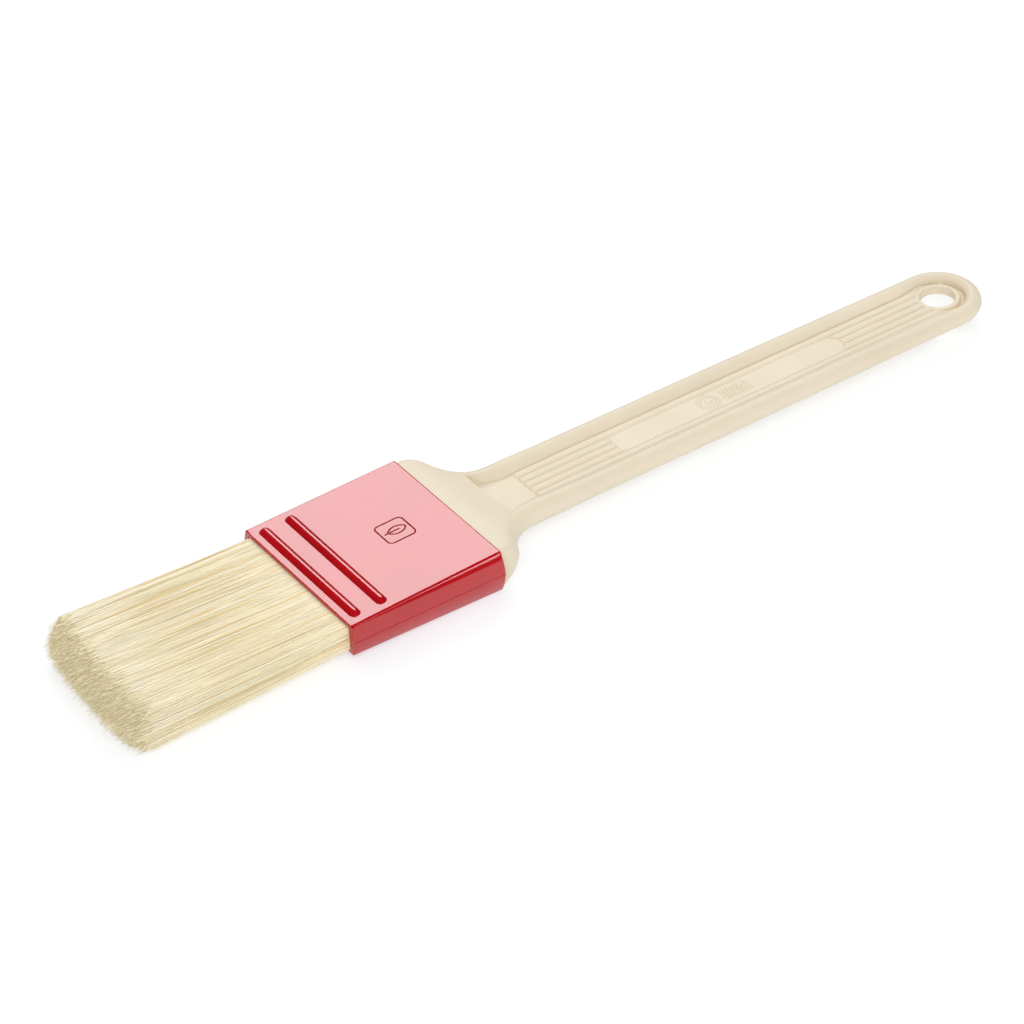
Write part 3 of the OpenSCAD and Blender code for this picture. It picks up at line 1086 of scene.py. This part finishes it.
def ferrule_plastic():
    """Glossy red plastic with faint moulding waves and rubbed patches, and a dull dark emblem."""
    n = Nodes("ferrule_plastic", ior=1.72)
    base = n.ramp(n.noise(scale=60), (0.35, linear(RED[0])), (0.65, linear(RED[1])))
    line = n.attribute("emblem_line")
    colour = n.mix(line, base, linear(EMBLEM_RED))
    n.bump(n.noise(scale=220, detail=2), distance=0.02 * MM, strength=0.12)
    n.set(Base_Color=colour, Roughness=n.number(n.noise(scale=35, detail=6), 0.05, 0.1))
    n.set(Specular_IOR_Level=n.number(line, 0.5, 0.06))
    return n.material


def bristle_hair():
    """Pale natural bristle: each strand its own tone, paler along its tip, with painted shade where the
    cut ends show the bundle's inside, and a faint painted glow for light scattered through the hair.
    """
    n = Nodes("bristle", roughness=0.42, ior=1.45)
    tone = n.ramp(n.attribute("tone"), *((place, linear(colour)) for place, colour in HAIR_TONES))
    stripe = n.noise(detail=2, place=n.stretched((60, 1600, 1600)))
    mottled = n.mix(n.number(stripe, 0.0, 0.3), tone, linear(HAIR_STRIPE))
    along = n.attribute("along")
    pale = n.ramp(along, (0.6, grey(0)), (0.9, grey(0.55)))
    # Painted shade: the last bit of each strand darkens to yellow, where the end face looks into the
    # shaded bundle.
    cut = n.ramp(along, (0.96, grey(0)), (1.0, grey(0.5)))
    colour = n.mix(cut, n.mix(pale, mottled, linear(HAIR_PALE)), linear(HAIR_END_SHADE))
    # The emission is painted light, standing in for light scattered through the hair.
    n.set(Base_Color=colour, Emission_Color=linear(HAIR_SCATTER_GLOW), Emission_Strength=HAIR_SCATTER_GLOW_STRENGTH)
    return n.material


def spacer_wood():
    """Plain sawn strip with long grain."""
    n = Nodes("spacer_wood", roughness=0.7)
    grain = n.noise(detail=5, place=n.stretched((90, 700, 700)))
    n.set(Base_Color=n.ramp(grain, (0.3, linear(WOOD[0])), (0.7, linear(WOOD[1]))))
    n.bump(grain, distance=0.1 * MM, strength=0.5)
    return n.material


def setting_resin():
    """Set amber resin with a few clouds and small bubbles."""
    n = Nodes("setting_resin", roughness=0.25, ior=1.55)
    cloud = n.noise(scale=160, detail=4)
    n.set(Base_Color=n.ramp(cloud, (0.3, linear(RESIN[0])), (0.7, linear(RESIN[1]))))
    n.bump(n.noise(scale=900, detail=2), distance=0.1 * MM, strength=0.4)
    return n.material


def dress_cad_node(node, material):
    """Gives a carried-over CAD node its material."""
    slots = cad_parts[node].data.materials
    slots.clear()
    slots.append(material)


# -------------------------------- stage

CAMERA_AZIMUTH = -32.55
CAMERA_ELEVATION = 37.41
CAMERA_ROLL = -3.46
CAMERA_DISTANCE = 1145
CAMERA_LENS = 158.2
SENSOR_W = 36
AIM = (HEEL_X + 6.32, -21.02, 13.63)
FLOOR_HALF_W = 4000
FLOOR_GAP = 0.05

# Azimuth, elevation and distance from AIM, then width, height and watts
LIGHTS = {
    "softbox": (CAMERA_AZIMUTH + 180, 38, 1300, 620, 500, 4.9),
    "overhead": (0, 88, 1600, 2400, 2400, 5),
    "glint": (26, 9, 1200, 500, 120, 0.8),
    "front_fill": (CAMERA_AZIMUTH + 8, 45, 1800, 1800, 1400, 18),
}
MIRRORED_LIGHTS = ("softbox", "glint")
GLOSS_ONLY_LIGHTS = ("glint",)


def add_facing_aim(name, data, azimuth, elevation, roll, distance):
    """Adds a camera or light that looks at AIM from some way off."""
    turn, tilt, lean = (math.radians(angle) for angle in (azimuth, elevation, roll))
    back = Vector((math.sin(turn) * math.cos(tilt), -math.cos(turn) * math.cos(tilt), math.sin(tilt)))
    level = Vector((math.cos(turn), math.sin(turn), 0))
    rise = back.cross(level)
    right = level * math.cos(lean) + rise * math.sin(lean)
    up = rise * math.cos(lean) - level * math.sin(lean)
    placed = bpy.data.objects.new(name, data)
    bpy.context.scene.collection.objects.link(placed)
    turned = Matrix((right, up, back)).transposed().to_4x4()
    placed.matrix_world = Matrix.Translation((Vector(AIM) + back * distance) * MM) @ turned
    return placed


def add_camera():
    """A long lens that looks down on the brush from its bristle end."""
    data = bpy.data.cameras.new("camera")
    data.lens = CAMERA_LENS
    data.sensor_width = SENSOR_W
    data.clip_start = 10 * MM
    bpy.context.scene.camera = add_facing_aim(
        "camera", data, CAMERA_AZIMUTH, CAMERA_ELEVATION, CAMERA_ROLL, CAMERA_DISTANCE
    )


def add_light(name, azimuth, elevation, distance, width, height, watts):
    """A soft rectangular light."""
    data = bpy.data.lights.new(name, "AREA")
    data.shape = "RECTANGLE"
    data.size = width * MM
    data.size_y = height * MM
    data.energy = watts
    light = add_facing_aim(name, data, azimuth, elevation, 0, distance)
    light.visible_glossy = name in MIRRORED_LIGHTS
    light.visible_diffuse = name not in GLOSS_ONLY_LIGHTS


def add_floor(z):
    """A plain white floor under the brush, which doesn't show from below."""
    mesh = bpy.data.meshes.new("floor")
    corners = [(-1, -1), (1, -1), (1, 1), (-1, 1)]
    half = FLOOR_HALF_W * MM
    mesh.from_pydata([(x * half, y * half, z) for x, y in corners], [], [(0, 1, 2, 3)])
    n = Nodes("floor_white", roughness=0.9)
    n.set(Base_Color=grey(0.5), Emission_Color=(0.94, 0.97, 1, 1), Emission_Strength=0.56)
    from_below = n.node("ShaderNodeNewGeometry").outputs["Backfacing"]
    n.set(Alpha=n.number(from_below, 1, 0), Specular_IOR_Level=0)
    mesh.materials.append(n.material)
    floor = bpy.data.objects.new("floor", mesh)
    bpy.context.scene.collection.objects.link(floor)


def add_world(strength, mirrored):
    """Even white light from all round, at another strength in reflections."""
    world = bpy.data.worlds.new("studio")
    world.use_nodes = True
    tree = world.node_tree
    background = tree.nodes["Background"]
    background.inputs["Color"].default_value = grey(1)
    path = tree.nodes.new("ShaderNodeLightPath")
    level = tree.nodes.new("ShaderNodeMapRange")
    level.inputs["To Min"].default_value = strength
    level.inputs["To Max"].default_value = mirrored
    tree.links.new(path.outputs["Is Glossy Ray"], level.inputs["Value"])
    tree.links.new(level.outputs["Result"], background.inputs["Strength"])
    bpy.context.scene.world = world


def build_stage():
    """Floor, lights and camera."""
    lowest = min(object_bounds()[0][2], CAD_BOX[0][2])
    add_floor(lowest - FLOOR_GAP * MM)
    for name, settings in LIGHTS.items():
        add_light(name, *settings)
    add_world(strength=0.47, mirrored=0.06)
    add_camera()
    bpy.context.scene.view_settings.view_transform = "Standard"


# -------------------------------- the brush

handle = build_handle(handle_plastic())
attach(handle, "brush_body")
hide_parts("handle")

ferrule = build_ferrule(ferrule_plastic())
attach(ferrule, "brush_body")
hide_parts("ferrule")

build_bristles(bristle_hair())
dress_cad_node("spacer_strip", spacer_wood())
dress_cad_node("resin_plug", setting_resin())
build_stage()
